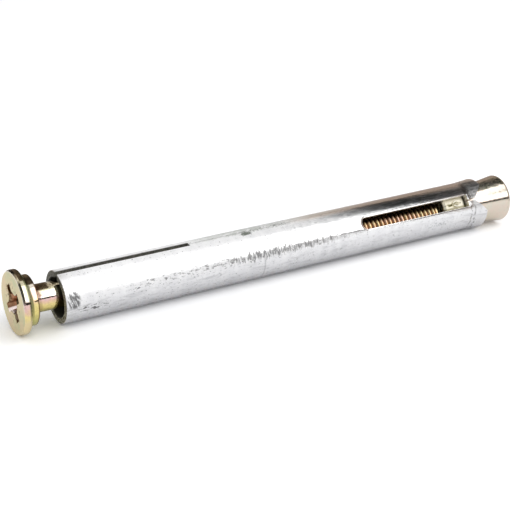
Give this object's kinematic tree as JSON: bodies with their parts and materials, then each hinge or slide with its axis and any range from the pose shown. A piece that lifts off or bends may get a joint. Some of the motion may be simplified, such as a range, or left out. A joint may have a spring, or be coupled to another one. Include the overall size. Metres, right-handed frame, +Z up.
{
  "type": "metal frame anchor",
  "caption": "Metal frame anchor: rolled steel sleeve with split flared end, cone nut gripped in it, and a cross-recess machine screw lying in the bore.",
  "frame": {"origin": "centre of the sleeve's mouth, on the sleeve's axis", "axes": "+X along the sleeve from the mouth to the cone nut, +Z up as the anchor lies on a table"},
  "size_m": [0.1098, 0.012, 0.012],
  "materials": {
    "zinc_plate": "bright zinc plating over rolled steel, scuffed, smooth and semi-gloss",
    "yellow_passivate": "yellow passivated zinc with a pink and green sheen, gloss",
    "pale_plate": "pale yellowish plating, gloss, with darker speckles"
  },
  "bodies": {
    "sleeve_body": {"sleeve": "zinc_plate", "cone_nut": "pale_plate"},
    "screw_body": {"screw": "yellow_passivate"}
  },
  "joints": [
    {"name": "screw_turn", "type": "hinge", "parent": "sleeve_body", "child": "screw_body", "pos_m": [-0.00819, 0, 0.00077], "axis": [0.9999, 0, -0.0166], "continuous": true}
  ]
}
